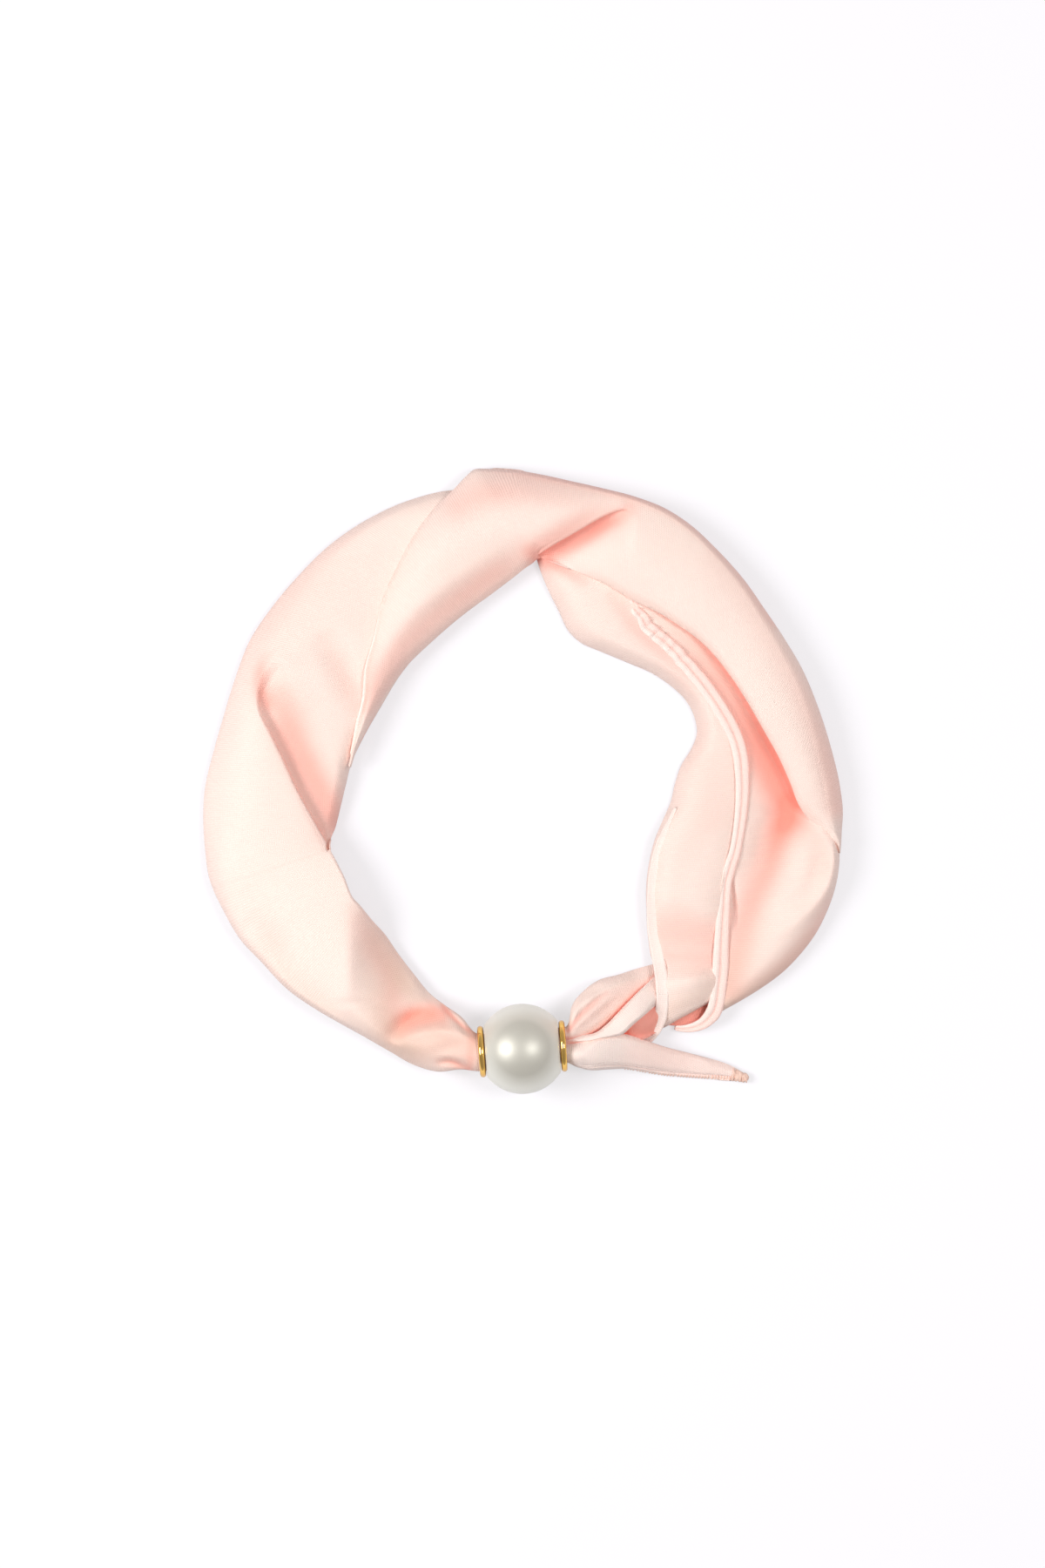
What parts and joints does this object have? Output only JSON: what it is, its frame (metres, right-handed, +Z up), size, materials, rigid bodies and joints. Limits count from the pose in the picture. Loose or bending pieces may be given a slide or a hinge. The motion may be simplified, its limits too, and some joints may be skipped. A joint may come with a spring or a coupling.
{
  "type": "scarf headband",
  "caption": "Folded satin scarf headband in a loop, its ends drawn through a pearl slide bead with gold end rings; the bead turns and the tail pulls to tighten.",
  "frame": {"origin": "centre of the bounding box, on the table that the headband lies on", "axes": "+Z up from the table, +X to the right of the loop with the bead nearest the viewer, +Y away from the bead"},
  "size_m": [0.2153, 0.2095, 0.03],
  "materials": {
    "satin": "blush satin weave, soft sheen",
    "thread": "matte sewing thread",
    "pearl": "pearl lacquer on a moulded bead",
    "gold": "polished pale gold plate"
  },
  "bodies": {
    "loop": {"left_wrap": "satin", "top_wrap": "satin", "right_cuff": "satin", "base_fold": "satin", "inner_strip": "satin", "gathered_neck": "satin", "end_whipping": "thread"},
    "pearl": {"pearl_shell": "pearl", "bore_sleeve": "gold", "left_end_ring": "gold", "right_end_ring": "gold"},
    "free_end": {"free_throat": "satin"},
    "tail": {"tail": "satin", "tail_tip_tack": "thread"}
  },
  "joints": [
    {"name": "pearl_spin", "type": "hinge", "parent": "loop", "child": "pearl", "pos_m": [-0.0002, -0.0896, 0.015], "axis": [0.9976, 0.0698, 0], "continuous": true},
    {"name": "tail_pull", "type": "slide", "parent": "loop", "child": "free_end", "axis": [0.9976, 0.0698, 0], "range_m": [0, 0.02]},
    {"name": "tail_swing", "type": "hinge", "parent": "free_end", "child": "tail", "pos_m": [0.01512, -0.09093, 0.015], "axis": [0, 0, 1], "range_deg": [-20, 0]}
  ]
}
